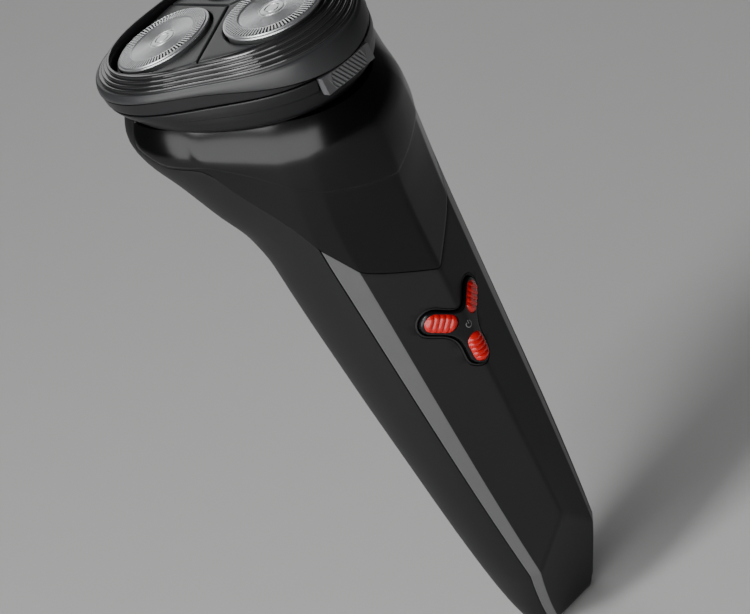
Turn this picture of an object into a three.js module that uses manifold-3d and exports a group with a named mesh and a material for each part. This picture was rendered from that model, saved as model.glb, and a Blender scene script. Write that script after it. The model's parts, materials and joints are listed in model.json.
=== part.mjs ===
// Three-head rotary electric shaver, modelled in millimetres with +Z up the handle.
// The front (power button side) faces -Y, and z = 0 is the flat end of the handle.
// Everything is drawn about the head's own axis; FRAME_SHIFT_Y then centres the box on Y.
import * as THREE from 'three';
import { mergeGeometries, mergeVertices } from 'three/addons/utils/BufferGeometryUtils.js';
import Module from 'manifold-3d';

const wasm = await Module();
wasm.setup();

// ---------------------------------------------------------------- driving dimensions
const GAP = 0.3;
const HALF_GAP = GAP / 2;
const WALL = 2;
const FRAME_SHIFT_Y = 2;

const GUARD_RADIUS = 10.7;
const GUARD_PITCH_RADIUS = 14.9;
const GUARD_PLANE = 158.9;
const PETAL_TILT = THREE.MathUtils.degToRad(4.3);
const PETAL_THICKNESS = 2;
const HEAD_ANGLES = [270, 30, 150].map(THREE.MathUtils.degToRad);

const SEAT_TILT = 0.2;
const SEAT_Z = 146;
const BOWL_TOP_Z = 151.3;
const BOWL_TOP_TILT = 0.1;
const HINGE = { y: 25.6, z: 154, knuckle: 1.9, pin: 0.9, clear: 2.25 };

const BUTTON_Z = 82.5;
const BUTTON_PROUD = 0.7;
const BUTTON_POST = { radius: 1.4, length: 3.2, y: -24.6 };
const LOBE_REACH = 7.2;
const LOBE_RADIUS = 2.6;
const LOBE_WAIST = 2.9;
const INSERT_REACH = 5.8;
const INSERT_HALF_WIDTH = 1.75;
const INSERT_HALF_LENGTH = 3.2;
const BUTTON_BAND = { low: 60, high: 105, inner: [70, 90] };
const LOBE_ANGLES = [35, 145, 270].map(THREE.MathUtils.degToRad);

const DECK_Z = 130;
const DECK_THICKNESS = 2;
const GEAR_Z = 134.8;
const GEAR_THICKNESS = 2.2;
const PINION_RADIUS = 4.4;
const PINION_TEETH = 12;
const GEAR_RADIUS = GUARD_PITCH_RADIUS - PINION_RADIUS - GAP;
const GEAR_TEETH = 30;
const SPINDLE_RADIUS = 1.5;
const SPINDLE_TOP = 155;
const MOTOR = { radius: 10, low: 103.6, high: 129.4 };

const SOCKET = { y: -11.2, width: 8, depth: 4.6, wall: 0.8, low: 4, high: 13 };
const BATTERY = { y: -9.5, radius: 7.1, low: 35, high: 85 };
const BOARD = { front: -20.6, thickness: 1.6, low: 22, high: 98, width: 17 };

// ---------------------------------------------------------------- solids and booleans
function toSolid(geometry) {
  const bare = geometry.clone();
  bare.deleteAttribute('normal');
  bare.deleteAttribute('uv');
  const merged = mergeVertices(bare, 1e-4);
  return new wasm.Manifold(new wasm.Mesh({
    numProp: 3,
    vertProperties: new Float32Array(merged.attributes.position.array),
    triVerts: new Uint32Array(merged.index.array),
  }));
}

function toGeometry(solid) {
  const mesh = solid.getMesh();
  const geometry = new THREE.BufferGeometry();
  geometry.setAttribute('position', new THREE.BufferAttribute(mesh.vertProperties, 3));
  geometry.setIndex(new THREE.BufferAttribute(mesh.triVerts, 1));
  return geometry;
}

function cut(solid, ...tools) {
  return tools.reduce((rest, tool) => rest.subtract(tool), solid);
}

function join(solid, ...others) {
  return others.reduce((sum, other) => sum.add(other), solid);
}

function box(width, depth, height, x, y, z) {
  return toSolid(new THREE.BoxGeometry(width, depth, height).translate(x, y, z));
}

// A cylinder standing on z = low.
function post(radius, low, high, x = 0, y = 0, sides = 24) {
  const geometry = new THREE.CylinderGeometry(radius, radius, high - low, sides);
  return toSolid(geometry.rotateX(Math.PI / 2).translate(x, y, (low + high) / 2));
}

// A cylinder lying along X.
function bar(radius, xLow, xHigh, y, z, sides = 24) {
  const geometry = new THREE.CylinderGeometry(radius, radius, xHigh - xLow, sides);
  return toSolid(geometry.rotateZ(Math.PI / 2).translate((xLow + xHigh) / 2, y, z));
}

function lathe(profile, sides = 36) {
  const points = profile.map(([r, z]) => new THREE.Vector2(r, z));
  return new THREE.LatheGeometry(points, sides).rotateX(Math.PI / 2);
}

// A side-view outline of [y, z] points, extruded across the whole width.
function sidePrism(points, halfWidth = 60) {
  const shape = new THREE.Shape(points.map(([y, z]) => new THREE.Vector2(y, z)));
  const geometry = new THREE.ExtrudeGeometry(shape, { depth: 2 * halfWidth, bevelEnabled: false });
  geometry.translate(0, 0, -halfWidth);
  geometry.applyMatrix4(new THREE.Matrix4().makeBasis(
    new THREE.Vector3(0, 1, 0), new THREE.Vector3(0, 0, 1), new THREE.Vector3(1, 0, 0)));
  return toSolid(geometry);
}

// A front-view outline in (x, z), extruded from y = near to y = far.
function frontPrism(shape, near, far) {
  const geometry = new THREE.ExtrudeGeometry(shape, {
    depth: far - near, bevelEnabled: false, curveSegments: 8 });
  geometry.rotateX(Math.PI / 2).translate(0, far, 0);
  return toSolid(geometry);
}

// A closed body through rings that run counter-clockwise seen from above, lowest first.
function loft(rings) {
  const count = rings[0].length;
  const points = rings.flat();
  const centre = (ring) => ring.reduce((sum, p) => sum.add(p), new THREE.Vector3())
    .divideScalar(count);
  points.push(centre(rings[0]), centre(rings.at(-1)));
  const faces = [];
  for (let level = 0; level + 1 < rings.length; level += 1) {
    for (let i = 0; i < count; i += 1) {
      const j = (i + 1) % count;
      const low = level * count;
      const high = low + count;
      faces.push(low + i, low + j, high + j, low + i, high + j, high + i);
    }
  }
  const last = (rings.length - 1) * count;
  for (let i = 0; i < count; i += 1) {
    const j = (i + 1) % count;
    faces.push(points.length - 2, j, i, points.length - 1, last + i, last + j);
  }
  const geometry = new THREE.BufferGeometry();
  const flat = points.flatMap((p) => [p.x, p.y, p.z]);
  geometry.setAttribute('position', new THREE.Float32BufferAttribute(flat, 3));
  geometry.setIndex(faces);
  return toSolid(geometry);
}

// ---------------------------------------------------------------- outlines
const { clamp, lerp, smoothstep } = THREE.MathUtils;

// Straight-line interpolation through [z, value] knots.
function along(knots, z) {
  if (z <= knots[0][0]) return knots[0][1];
  for (let i = 1; i < knots.length; i += 1) {
    const [z0, v0] = knots[i - 1];
    const [z1, v1] = knots[i];
    if (z <= z1) return lerp(v0, v1, (z - z0) / (z1 - z0));
  }
  return knots.at(-1)[1];
}

const RIDGE_Y = -28.2;
const FACET_TOP_Z = 30.4;
const FACET_SLOPE = 0.412;
const HALF_WIDTH = [[0, 9.2], [10, 12], [25, 14.4], [45, 16.3], [75, 18.3], [105, 19.7], [150, 20]];
const WIDEST_Y = [[0, -12.5], [15, -13], [45, -12], [75, -9], [105, -6], [150, 0]];
const BACK_Y = [
  [0, -6], [6, -4.4], [15, -2.2], [25, -0.6], [45, 2.9], [75, 7.7], [105, 12.1], [150, 19.9]];
const FACET_HALF = [[0, 5.4], [9, 7.5], [19, 8.9], [105, 13.6], [150, 16]];
const CHAMFER = [[0, 1.4], [19, 1.75], [105, 3.4], [150, 4]];

// Half of the handle's outline at one height, from the front ridge round to the back.
function handleHalf(z) {
  const slant = RIDGE_Y + FACET_SLOPE * Math.max(0, FACET_TOP_Z - z);
  const a = along(FACET_HALF, z);
  const facetY = Math.max(slant, -(24.2 - 0.026 * z));
  const chamfer = along(CHAMFER, z);
  const wide = along(HALF_WIDTH, z);
  const wideY = along(WIDEST_Y, z);
  const back = along(BACK_Y, z);
  const edge = new THREE.Vector2(a + chamfer, facetY + chamfer);
  const side = new THREE.QuadraticBezierCurve(
    edge, new THREE.Vector2(wide, lerp(edge.y, wideY, 0.35)), new THREE.Vector2(wide, wideY));
  const half = [
    new THREE.Vector2(0, slant),
    new THREE.Vector2(a / 2, (slant + facetY) / 2),
    new THREE.Vector2(a, facetY),
    edge,
    ...[1, 2, 3, 4].map((i) => side.getPoint(i / 4)),
  ];
  for (let i = 1; i <= 6; i += 1) {
    const t = (i * Math.PI) / 12;
    half.push(new THREE.Vector2(wide * Math.cos(t), wideY + (back - wideY) * Math.sin(t)));
  }
  half.at(-1).x = 0;
  return half;
}

const HALF_ANGLES = [0, 13, 26, 38, 52, 64, 77, 90, 105, 120, 135, 150, 165, 180]
  .map(THREE.MathUtils.degToRad);

// Radius of the head's rounded-triangle outline, with one lobe over each cutter.
function lobed(radius, lobe, phi, flatten = 0) {
  return radius + lobe * Math.cos(3 * phi) + flatten * Math.cos(6 * phi);
}

function lobedHalf(radius, lobe) {
  return HALF_ANGLES.map((phi) => {
    const r = lobed(radius, lobe, phi);
    return new THREE.Vector2(r * Math.sin(phi), -r * Math.cos(phi));
  });
}

// Mirrors a half outline into a full counter-clockwise ring.
function fullRing(half) {
  const right = half.map((p) => new THREE.Vector2(Math.max(0, p.x), p.y));
  const left = half.slice(1, -1).reverse().map((p) => new THREE.Vector2(-p.x, p.y));
  return [...right, ...left];
}

// Moves every point of a ring inward by a distance, along the outline's own normals.
function inset(ring, distance) {
  const count = ring.length;
  return ring.map((p, i) => {
    const before = ring[(i + count - 1) % count];
    const after = ring[(i + 1) % count];
    const one = p.clone().sub(before).normalize();
    const two = after.clone().sub(p).normalize();
    const bisector = new THREE.Vector2(-(one.y + two.y), one.x + two.x).normalize();
    const reach = distance / Math.max(0.6, new THREE.Vector2(-one.y, one.x).dot(bisector));
    return p.clone().addScaledVector(bisector, reach);
  });
}

const TILT_START = 108;

// How far the section has grown into the head's outline, at the front and at the back.
const FRONT_FLARE = [
  [96, 0], [106, 0.003], [114, 0.083], [122, 0.304], [130, 0.562], [137, 0.767], [142, 0.902],
  [146, 1]];
const BACK_FLARE = [
  [96, 0], [106, 0], [114, 0.076], [122, 0.335], [130, 0.6], [137, 0.879], [142, 0.99], [146, 1]];

// One ring of the handle's outer skin; the levels tilt gradually into the head's seat.
function bodyRing(level, offset = 0) {
  const front = along(FRONT_FLARE, level);
  const back = along(BACK_FLARE, level);
  const handle = handleHalf(level);
  const head = lobedHalf(28.2, 3.4);
  const half = handle.map((p, i) => (
    p.clone().lerp(head[i], lerp(front, back, smoothstep(i, 3, 9)))));
  const shoulder = 3 * clamp((level - (SEAT_Z - 9)) / 9, 0, 1) ** 2;
  const tilt = SEAT_TILT * smoothstep(level, TILT_START, SEAT_Z);
  const ring = inset(fullRing(half), offset + shoulder);
  return ring.map((p) => new THREE.Vector3(p.x, p.y, level + tilt * p.y));
}

// A ring of the rounded-triangle head, on a plane z = height + tilt * y.
function headRing(radius, lobe, height, tilt = 0, flatten = 0, steps = 36) {
  const ring = [];
  for (let i = 0; i < steps; i += 1) {
    const angle = (i / steps) * 2 * Math.PI;
    const r = lobed(radius, lobe, angle - HEAD_ANGLES[0], flatten);
    const y = r * Math.sin(angle);
    ring.push(new THREE.Vector3(r * Math.cos(angle), y, height + tilt * y));
  }
  return ring;
}

// ---------------------------------------------------------------- handle shells
const LEVELS = [0, 3, 7, 12, 19, 30.4, 60, 90, 105, 110, 114, 118, 122, 130, 137, 142, 144, 146];
const FLOOR = 3;

function bodySolid(offset, low, high, levels = LEVELS) {
  const used = [low, ...levels.filter((z) => z > low + 0.5 && z < high - 0.5), high];
  return loft(used.map((z) => bodyRing(z, offset)));
}

const outerBody = bodySolid(0, 0, SEAT_Z);
const cavity = bodySolid(WALL, FLOOR, SEAT_Z + 4);

// The front shell ends at the outer edge of its chamfers, seen from the side.
const SPLIT_LEVELS = [0, 6, 12, 19, 30.4, 60, 90, 118];

function frontZone(shift) {
  const edge = SPLIT_LEVELS.map((z) => [bodyRing(z)[3].y + shift, z]);
  const bottom = [edge[0][0], -4];
  return sidePrism([bottom, ...edge, [-60, 118], [-60, -4]]);
}

// The gloss panel lies above a line that climbs from the point of its V to the collar,
// then follows the collar's lower edge to the seam behind it.
const COLLAR_END = { y: 10.2, z: 143.2 };
const PANEL_LINE = [
  [-60, 63.2], [-28.2, 96.9], [-25, 100.3], [-22.2, 103.8], [-19.9, 108.7], [-18, 113],
  [-16, 117.4], [-13, 122], [-10, 125.9], [-6.8, 131.2], [-5, 135.8], [-3, 137.2], [0, 138],
  [3.3, 138.8], [6.5, 140.8]];

function panelZone(grow) {
  const drop = 1.15 * grow;
  const line = PANEL_LINE.map(([y, z]) => [y + 0.7 * grow, z - drop]);
  const end = COLLAR_END.y + grow;
  return sidePrism([...line, [end, COLLAR_END.z - drop], [end, 160], [-60, 160]]);
}

// Power button outline: three rounded lobes joined at the middle.
function lobeShape(grow) {
  const radius = LOBE_RADIUS + grow;
  const waist = LOBE_WAIST + grow;
  const shape = new THREE.Shape();
  const blends = LOBE_ANGLES.map((angle, i) => {
    const next = LOBE_ANGLES[(i + 1) % 3] + (i === 2 ? 2 * Math.PI : 0);
    return (angle + next) / 2;
  });
  const at = (r, angle) => [r * Math.cos(angle), r * Math.sin(angle)];
  const points = [];
  LOBE_ANGLES.forEach((angle, i) => {
    const [cx, cy] = at(LOBE_REACH, angle);
    for (let step = -3; step <= 3; step += 1) {
      const [x, y] = at(radius, angle + (step * Math.PI) / 6);
      points.push(new THREE.Vector2(cx + x, cy + y));
    }
    const [bx, by] = at(waist, blends[i]);
    points.push(new THREE.Vector2(bx, by));
  });
  shape.setFromPoints(points.map((p) => new THREE.Vector2(p.x, p.y + BUTTON_Z)));
  return shape;
}

function stadiumShape(angle, halfWidth, halfLength) {
  const points = [];
  for (let i = 0; i < 12; i += 1) {
    const t = ((i + 0.5) / 12) * 2 * Math.PI;
    const u = halfWidth * Math.cos(t) + (halfLength - halfWidth) * Math.sign(Math.cos(t));
    const v = halfWidth * Math.sin(t);
    const x = (INSERT_REACH + u) * Math.cos(angle) - v * Math.sin(angle);
    const z = (INSERT_REACH + u) * Math.sin(angle) + v * Math.cos(angle);
    points.push(new THREE.Vector2(x, z + BUTTON_Z));
  }
  return new THREE.Shape(points);
}

// Prisms through the front wall only, in the shape of the button or of one insert.
const FRONT_WALL = { near: -34, far: -19 };
const lobePrism = (grow) => frontPrism(lobeShape(grow), FRONT_WALL.near, FRONT_WALL.far);
const insertPrism = (angle, grow) => frontPrism(
  stadiumShape(angle, INSERT_HALF_WIDTH + grow, INSERT_HALF_LENGTH + grow),
  FRONT_WALL.near, FRONT_WALL.far);

const shell = cut(outerBody, cavity);
const frontShell = cut(
  shell.intersect(frontZone(-HALF_GAP)), panelZone(GAP), lobePrism(1));
const glossPanel = shell.intersect(panelZone(0));
const rearShell = cut(
  shell, frontZone(HALF_GAP), panelZone(GAP),
  box(SOCKET.width + 0.2, SOCKET.depth + 0.2, 20, 0, SOCKET.y, 0));

// ---------------------------------------------------------------- power button
const skin = (offset) => (
  bodySolid(offset, BUTTON_BAND.low, BUTTON_BAND.high, BUTTON_BAND.inner));

const buttonShell = cut(skin(-BUTTON_PROUD).intersect(lobePrism(0)), skin(WALL + 0.4));
const insertPocket = (i) => cut(insertPrism(LOBE_ANGLES[i], GAP), skin(0.7));
const buttonPost = toSolid(new THREE.CylinderGeometry(
  BUTTON_POST.radius, BUTTON_POST.radius, BUTTON_POST.length, 12)
  .translate(0, BUTTON_POST.y, BUTTON_Z));
const powerButton = cut(
  join(buttonShell, buttonPost), insertPocket(0), insertPocket(1), insertPocket(2));
const buttonInserts = LOBE_ANGLES.map((angle) => cut(
  skin(-BUTTON_PROUD - 0.3).intersect(insertPrism(angle, 0)), skin(0.4)));

// The gasket fills the groove round the button and lies a little below the shell.
const buttonGasket = cut(
  skin(0.2).intersect(lobePrism(0.7)), lobePrism(GAP), skin(WALL));

// ---------------------------------------------------------------- inside the handle
function slab(ring, low, high) {
  const at = (z) => ring.map((p) => new THREE.Vector3(p.x, p.y, z));
  return loft([at(low), at(high)]);
}

const headPoints = HEAD_ANGLES.map((angle) => ({
  x: GUARD_PITCH_RADIUS * Math.cos(angle),
  y: GUARD_PITCH_RADIUS * Math.sin(angle),
}));
const posts = (radius, low, high, sides) => headPoints.map(({ x, y }) => (
  post(radius, low, high, x, y, sides)));

const DECK_SCREW_CIRCLE = 15.8;
const deckScrewPoints = [90, 210, 330].map(THREE.MathUtils.degToRad).map((angle) => ({
  x: DECK_SCREW_CIRCLE * Math.cos(angle),
  y: DECK_SCREW_CIRCLE * Math.sin(angle),
}));

// Holes through the deck run from just under it to just above it.
const DRILL = { low: DECK_Z - 1, high: DECK_Z + 4 };
const gearDeck = cut(
  slab(bodyRing(128, WALL + 1.3), DECK_Z, DECK_Z + DECK_THICKNESS),
  post(2.2, DRILL.low, DRILL.high),
  ...posts(SPINDLE_RADIUS + 0.35, DRILL.low, DRILL.high, 16),
  ...deckScrewPoints.map(({ x, y }) => post(1.3, DRILL.low, DRILL.high, x, y, 12)));

const neckCover = cut(
  loft([142.6, 144.4].map((level) => bodyRing(level, WALL + 0.4))),
  ...posts(SPINDLE_RADIUS + 0.5, 130, 160, 16));
const neckSeal = cut(
  loft([141.2, 142.2].map((level) => bodyRing(level, WALL + 0.4))),
  loft([140.2, 143.2].map((level) => bodyRing(level, WALL + 1.6))));

const motorHousing = join(
  toSolid(lathe([[0, MOTOR.low], [9, MOTOR.low], [MOTOR.radius, MOTOR.low + 1],
    [MOTOR.radius, MOTOR.high - 1.2], [9, MOTOR.high - 0.8], [3, MOTOR.high - 0.8],
    [3, MOTOR.high], [0, MOTOR.high]], 24)),
  post(2.4, MOTOR.low - 1.6, MOTOR.low + 0.5, 0, 0, 16));
const motorCradle = cut(
  slab(bodyRing(100, WALL + 1.2), 98.6, 101.4),
  post(4, 98, 102, 0, -2, 16),
  box(24, 8, 8, 0, -23.5, 100));

const battery = toSolid(lathe([[0, BATTERY.low], [BATTERY.radius - 0.6, BATTERY.low],
  [BATTERY.radius, BATTERY.low + 0.6], [BATTERY.radius, BATTERY.high - 1.4],
  [BATTERY.radius - 1.2, BATTERY.high - 0.8], [2.6, BATTERY.high - 0.8],
  [2.6, BATTERY.high], [0, BATTERY.high]], 20).translate(0, BATTERY.y, 0));
const contactStrip = (z) => join(
  box(9, 8, 0.5, 0, BATTERY.y, z),
  box(4, 5.2, 0.5, 0, BATTERY.y - 6.6, z));
const circuitBoard = box(
  BOARD.width, BOARD.thickness, BOARD.high - BOARD.low,
  0, BOARD.front + BOARD.thickness / 2, (BOARD.high + BOARD.low) / 2);
const powerSwitch = join(
  box(6, 1, 6, 0, BOARD.front - 0.85, BUTTON_Z),
  toSolid(new THREE.CylinderGeometry(1.1, 1.1, 0.5, 12).translate(0, BOARD.front - 1.3, BUTTON_Z)));
const chargeLed = box(2, 1, 1.4, 0, BOARD.front - 0.85, 40);

const PIN_SPACING = 4;
const socketHousing = cut(
  box(SOCKET.width + 2 * SOCKET.wall, SOCKET.depth + 2 * SOCKET.wall, SOCKET.high - SOCKET.low,
    0, SOCKET.y, (SOCKET.high + SOCKET.low) / 2),
  box(SOCKET.width, SOCKET.depth, 16, 0, SOCKET.y, SOCKET.high - 1.5 - 8),
  post(1.1, 8, 16, -PIN_SPACING / 2, SOCKET.y, 12),
  post(1.1, 8, 16, PIN_SPACING / 2, SOCKET.y, 12));
const socketPin = (x) => toSolid(lathe(
  [[0, 5.4], [0.5, 5.4], [0.8, 5.9], [0.8, 15], [0, 15]], 12).translate(x, SOCKET.y, 0));

// ---------------------------------------------------------------- drive train
const TOOTH_DEPTH = 0.7;

function gearShape(radius, teeth, bore) {
  const shape = new THREE.Shape();
  for (let i = 0; i < teeth * 4; i += 1) {
    const angle = ((i + 0.5) / (teeth * 4)) * 2 * Math.PI;
    const r = i % 4 < 2 ? radius : radius - TOOTH_DEPTH;
    const step = i === 0 ? 'moveTo' : 'lineTo';
    shape[step](r * Math.cos(angle), r * Math.sin(angle));
  }
  shape.closePath();
  if (bore > 0) {
    const hole = new THREE.Path();
    hole.absarc(0, 0, bore, 0, 2 * Math.PI, true);
    shape.holes.push(hole);
  }
  return shape;
}

function gear(radius, teeth, bore, low, thickness) {
  const geometry = new THREE.ExtrudeGeometry(gearShape(radius, teeth, bore), {
    depth: thickness, bevelEnabled: false, curveSegments: 5 });
  return toSolid(geometry.translate(0, 0, low));
}

const motorPinion = join(
  gear(PINION_RADIUS, PINION_TEETH, 0, GEAR_Z, GEAR_THICKNESS),
  post(1, MOTOR.high + GAP, GEAR_Z + 1, 0, 0, 12));
const driveGear = ({ x, y }) => gear(
  GEAR_RADIUS, GEAR_TEETH, SPINDLE_RADIUS + GAP, GEAR_Z, GEAR_THICKNESS).translate(x, y, 0);
const spindle = ({ x, y }) => toSolid(lathe(
  [[0, DECK_Z - 0.8], [SPINDLE_RADIUS, DECK_Z - 0.8], [SPINDLE_RADIUS, SPINDLE_TOP - 3],
    [1.9, SPINDLE_TOP - 2.6], [1.9, SPINDLE_TOP - 0.6], [1.2, SPINDLE_TOP], [0, SPINDLE_TOP]],
  12).translate(x, y, 0));

// ---------------------------------------------------------------- hair chamber
const RELEASE = { half: 6.6, height: 3.8, z: 146.4 };
const chamberOuter = loft([
  headRing(25.2, 1.6, SEAT_Z + GAP, SEAT_TILT),
  headRing(26.8, 2.2, SEAT_Z + 1.8, 0.17),
  headRing(27.8, 3, BOWL_TOP_Z, BOWL_TOP_TILT)]);
const chamberInner = loft([
  headRing(24, 1.6, SEAT_Z + 1.9, 0.17),
  headRing(26, 2.8, BOWL_TOP_Z + 1, BOWL_TOP_TILT)]);
const releaseSlot = box(
  2 * (RELEASE.half + GAP), 8, RELEASE.height + 2 * GAP, 0, -32, RELEASE.z);
const hingeClear = (low, high) => bar(HINGE.clear, low, high, HINGE.y, HINGE.z, 20);
const hairChamber = cut(
  join(
    cut(chamberOuter, chamberInner, hingeClear(-5.6, 5.6)),
    bar(HINGE.knuckle, 5.8, 9, HINGE.y, HINGE.z, 20).subtract(chamberInner),
    bar(HINGE.knuckle, -9, -5.8, HINGE.y, HINGE.z, 20).subtract(chamberInner),
    box(3.2, 1.7, 3, 7.4, HINGE.y - 0.6, 152.3),
    box(3.2, 1.7, 3, -7.4, HINGE.y - 0.6, 152.3)),
  bar(HINGE.pin + GAP, -12, 12, HINGE.y, HINGE.z, 16),
  releaseSlot,
  box(5.6, 8, 2.6, 0, -29, RELEASE.z),
  ...posts(3, 140, 160, 20));
const hingePin = bar(HINGE.pin, -8.8, 8.8, HINGE.y, HINGE.z, 12);
const releaseButton = join(
  box(2 * RELEASE.half, 2.6, RELEASE.height, 0, -30.2, RELEASE.z),
  box(5, 3.4, 2, 0, -28, RELEASE.z));
const releaseSpring = join(
  box(7.4, 0.4, 2, 0, -24.5, RELEASE.z),
  box(0.5, 1.2, 2, -3.45, -24.9, RELEASE.z),
  box(0.5, 1.2, 2, 3.45, -24.9, RELEASE.z));

// ---------------------------------------------------------------- flip-open head
const RIB_COUNT = 4;
const ribRings = [];
for (let i = 0; i < RIB_COUNT; i += 1) {
  const rise = i / RIB_COUNT;
  const radius = lerp(27.5, 24.9, rise);
  const height = lerp(155.6, 158.3, rise);
  ribRings.push(headRing(radius, 3 - 0.3 * rise, height, 0.06, 0.3));
  ribRings.push(headRing(radius - 0.15, 3 - 0.3 * rise, height + 0.45, 0.06, 0.3));
}
const headOuter = loft([
  headRing(28.2, 3.2, BOWL_TOP_Z + GAP, BOWL_TOP_TILT),
  headRing(28, 3.2, 155.2, 0.07),
  ...ribRings,
  headRing(24.5, 2.6, 159, 0.05, 0.4)]);
const headInner = loft([
  headRing(26.2, 2.8, BOWL_TOP_Z - 1, BOWL_TOP_TILT),
  headRing(26.2, 2.8, 154.9, 0.05),
  headRing(23.8, 2.6, 156, 0, 0.4),
  headRing(23.8, 2.6, 164, 0, 0.4)]);
const headFrame = cut(
  join(
    cut(headOuter, headInner, hingeClear(5.4, 9.4), hingeClear(-9.4, -5.4)),
    bar(HINGE.knuckle, -5.1, 5.1, HINGE.y, HINGE.z, 20).subtract(headInner)),
  bar(HINGE.pin + GAP, -12, 12, HINGE.y, HINGE.z, 16));

const cutterFrame = cut(
  slab(headRing(23.4, 2.4, 0), 152.2, 153.4),
  post(1.5, 150, 155, 0, 0, 16),
  ...posts(5.4, 150, 155, 24));

// The lock wheel's three finger lobes sit between the cutters.
const LOCK = { radius: 4.2, lobe: 1.6, low: 149.6, high: 151.8 };
const lockLobes = [90, 210, 330].map(THREE.MathUtils.degToRad).map((angle) => post(
  LOCK.lobe, LOCK.low, LOCK.high, LOCK.radius * Math.cos(angle), LOCK.radius * Math.sin(angle), 12));
const lockWheel = join(
  post(LOCK.radius, LOCK.low, LOCK.high, 0, 0, 24),
  post(1.1, LOCK.high - 0.8, LOCK.high + 2.1, 0, 0, 12),
  ...lockLobes);

// ---------------------------------------------------------------- petals, guards and cutters
const petalOutline = headRing(23.3, 2.6, 0, 0, 0.4);
const PETAL_SPLIT = 0.5;

// Turns a shape about the tangent through a guard's centre, so that the outer side drops.
function onPetal(geometryOrSolid, { x, y }, angle) {
  const matrix = new THREE.Matrix4().makeTranslation(x, y, GUARD_PLANE)
    .multiply(new THREE.Matrix4().makeRotationZ(angle))
    .multiply(new THREE.Matrix4().makeRotationY(PETAL_TILT));
  if (geometryOrSolid.applyMatrix4) return toSolid(geometryOrSolid.applyMatrix4(matrix));
  return geometryOrSolid.transform(matrix.elements);
}

function sectorPrism(angle) {
  const reach = 60;
  const half = Math.PI / 3;
  const tip = PETAL_SPLIT / 2 / Math.sin(half);
  const at = (r, a) => new THREE.Vector2(
    tip * Math.cos(angle) + r * Math.cos(a), tip * Math.sin(angle) + r * Math.sin(a));
  const shape = new THREE.Shape([
    at(0, angle), at(reach, angle - half), at(reach, angle), at(reach, angle + half)]);
  const geometry = new THREE.ExtrudeGeometry(shape, { depth: 30, bevelEnabled: false });
  return toSolid(geometry.translate(0, 0, 145));
}

function petal(point, angle) {
  const plate = onPetal(
    new THREE.BoxGeometry(70, 70, PETAL_THICKNESS).translate(0, 0, -PETAL_THICKNESS / 2 - 0.5),
    point, angle);
  const hole = onPetal(
    new THREE.CylinderGeometry(GUARD_RADIUS + 0.3, GUARD_RADIUS + 0.3, 12, 36).rotateX(Math.PI / 2),
    point, angle);
  return cut(
    slab(petalOutline, 150, 165).intersect(sectorPrism(angle)).intersect(plate), hole);
}

const guardProfile = [
  [9.9, -3.8], [10.4, -3.8], [10.4, -0.1], [GUARD_RADIUS, 0.1], [GUARD_RADIUS, 0.5], [10.2, 0.9],
  [7.2, 1], [7, 0.75], [0, 0.75], [0, 0.25], [9.9, 0.25], [9.9, -3.8]];
const guard = (point, angle) => onPetal(lathe(guardProfile, 32), point, angle);

// A flat carrier ring with slanted blades standing round its rim.
const CUTTER = { bore: 3, track: 8.4, low: -2.9, high: -2.3, blades: 9 };
const BLADE = { width: 1.8, thickness: 0.5, height: 2.6, slant: 0.35, middle: -1.35 };

function cutterBlades(point, angle) {
  let solid = toSolid(lathe([
    [CUTTER.bore, CUTTER.low], [CUTTER.track, CUTTER.low], [CUTTER.track, CUTTER.high],
    [CUTTER.bore, CUTTER.high], [CUTTER.bore, CUTTER.low]], 3 * CUTTER.blades));
  for (let i = 0; i < CUTTER.blades; i += 1) {
    const blade = new THREE.BoxGeometry(BLADE.width, BLADE.thickness, BLADE.height)
      .rotateX(BLADE.slant)
      .translate(CUTTER.track, 0, BLADE.middle)
      .rotateZ((i / CUTTER.blades) * 2 * Math.PI);
    solid = solid.add(toSolid(blade));
  }
  return onPetal(solid, point, angle);
}

// The hub carries the cutter on a socket that drops over the spindle's head.
const cutterHub = (point, angle) => onPetal(lathe(
  [[2.9, -5.2], [4.6, -5.2], [4.6, -3.3], [2.6, -3.3], [2.6, -1.6], [1.4, -1.2], [0, -1.2],
    [0, -1.6], [2, -2], [2.3, -3.4], [2.9, -3.6], [2.9, -5.2]], 16), point, angle);

// ---------------------------------------------------------------- fasteners
const screw = ({ x, y }, low, length) => toSolid(lathe(
  [[0, low], [0.8, low], [0.8, low + length], [1.9, low + length], [1.9, low + length + 1],
    [1.2, low + length + 1.3], [0, low + length + 1.3]], 12).translate(x, y, 0));

// ---------------------------------------------------------------- materials and assembly
const finish = (color, roughness, metalness = 0) => ({ color, roughness, metalness });
const MATTE_BLACK = finish(0x1b1b1d, 0.5);
const MATTE_REAR = finish(0x141416, 0.6);
const GLOSS_BLACK = finish(0x050506, 0.12);
const SATIN_GREY = finish(0x3a3b3e, 0.35, 0.4);
const DARK_PLASTIC = finish(0x26272a, 0.45);
const STEEL = finish(0xc9ccd0, 0.25, 1);
const RED = finish(0xb31217, 0.35);
const NYLON = finish(0xdedbd0, 0.5);
const BRASS = finish(0xc9a24a, 0.35, 1);
const BOARD_GREEN = finish(0x14532d, 0.5);
const RUBBER = finish(0x101012, 0.9);
const SLEEVE = finish(0x1f5fae, 0.4);

const shaver = new THREE.Group();

function add(name, solid, look) {
  const placed = solid.translate(0, FRAME_SHIFT_Y, 0);
  const mesh = new THREE.Mesh(toGeometry(placed), new THREE.MeshStandardMaterial(look));
  mesh.name = name;
  shaver.add(mesh);
}

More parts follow.
